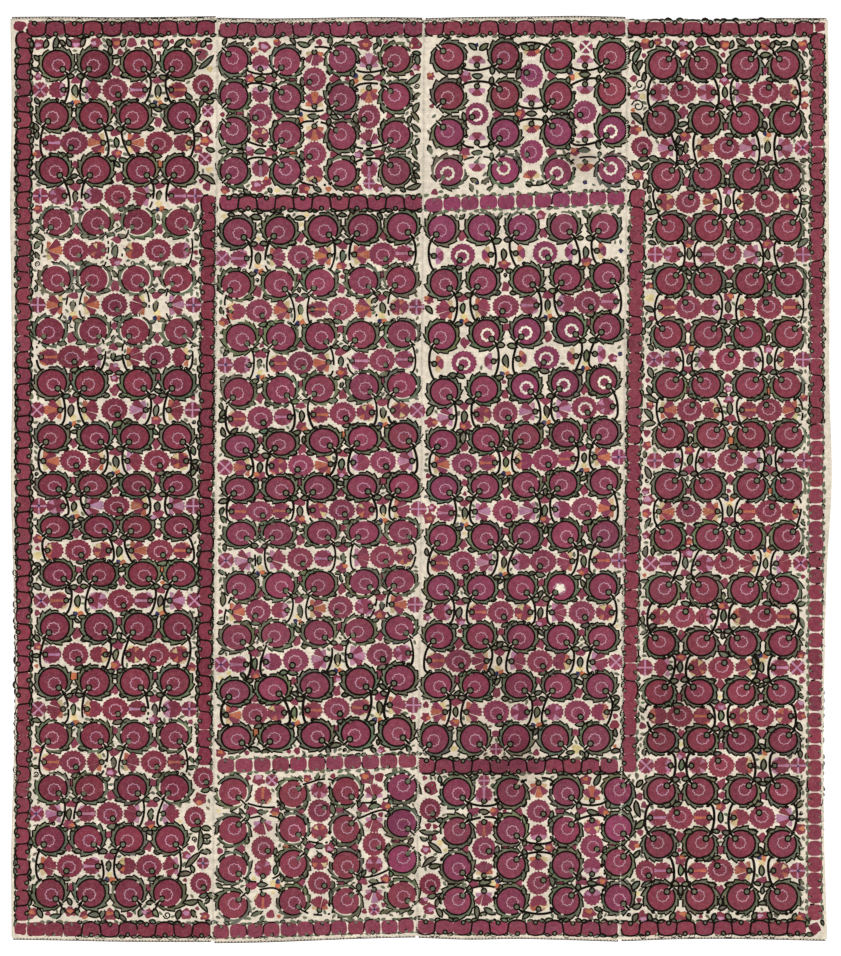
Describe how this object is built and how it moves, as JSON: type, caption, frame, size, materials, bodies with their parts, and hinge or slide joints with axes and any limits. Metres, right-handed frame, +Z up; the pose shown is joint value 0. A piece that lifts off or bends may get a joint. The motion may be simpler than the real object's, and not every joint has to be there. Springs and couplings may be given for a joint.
{
  "type": "suzani embroidered textile",
  "caption": "Large flat suzani cover of joined cotton loom widths, its face filled with rows of stitched red rosettes, green leaves and dark vines, with braid along both ends.",
  "frame": {"origin": "middle of the underside, on the surface that the cloth lies on", "axes": "+X across the loom widths to the right edge, +Y along them to the top end, +Z up from the stitched face"},
  "size_m": [2.1437, 2.42, 0.002],
  "materials": {
    "ground_cotton": "matt hand-woven cotton",
    "edge_braid": "matt braided thread",
    "red_silk": "soft sheen stitched silk",
    "green_silk": "soft sheen stitched silk",
    "dark_silk": "matt stitched silk",
    "pale_silk": "soft sheen stitched silk"
  },
  "bodies": {
    "root": {"panel_left": "ground_cotton", "panel_centre_left": "ground_cotton", "panel_centre_right": "ground_cotton", "panel_right": "ground_cotton", "braid_top_left": "edge_braid", "braid_top_centre_left": "edge_braid", "braid_top_centre_right": "edge_braid", "braid_top_right": "edge_braid", "braid_bottom_left": "edge_braid", "braid_bottom_centre_left": "edge_braid", "braid_bottom_centre_right": "edge_braid", "braid_bottom_right": "edge_braid"}
  },
  "joints": []
}
